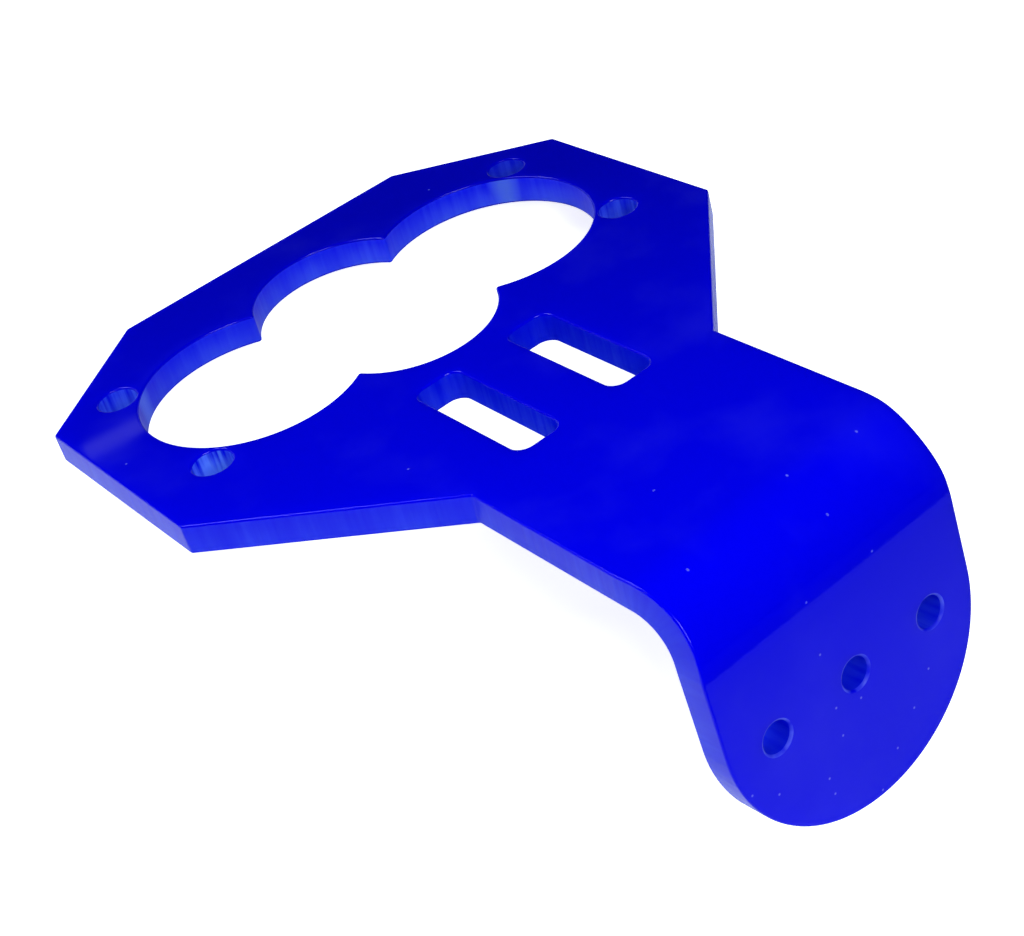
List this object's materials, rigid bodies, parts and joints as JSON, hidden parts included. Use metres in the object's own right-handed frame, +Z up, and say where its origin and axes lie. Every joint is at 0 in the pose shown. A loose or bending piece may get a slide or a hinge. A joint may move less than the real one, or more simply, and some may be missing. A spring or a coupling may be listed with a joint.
{
  "type": "bent acrylic sensor bracket",
  "caption": "Bent acrylic sheet bracket: wide head with a lobed sensor window and screw holes, slotted neck, and a rounded tab with a row of holes.",
  "frame": {"origin": "on the ground under the middle of the bracket's bounding box, as the bracket lies on the head's front lower edge and the tip of its tab", "axes": "+X across the bracket, square to its plane of symmetry; +Y from the tab towards the head's front edge; +Z up from the ground"},
  "size_m": [0.0568, 0.0782, 0.0232],
  "materials": {
    "blue_acrylic": "translucent deep blue cast acrylic sheet, glossy faces and laser-cut edges"
  },
  "bodies": {
    "root": {"sensor_bracket": "blue_acrylic"}
  },
  "joints": []
}
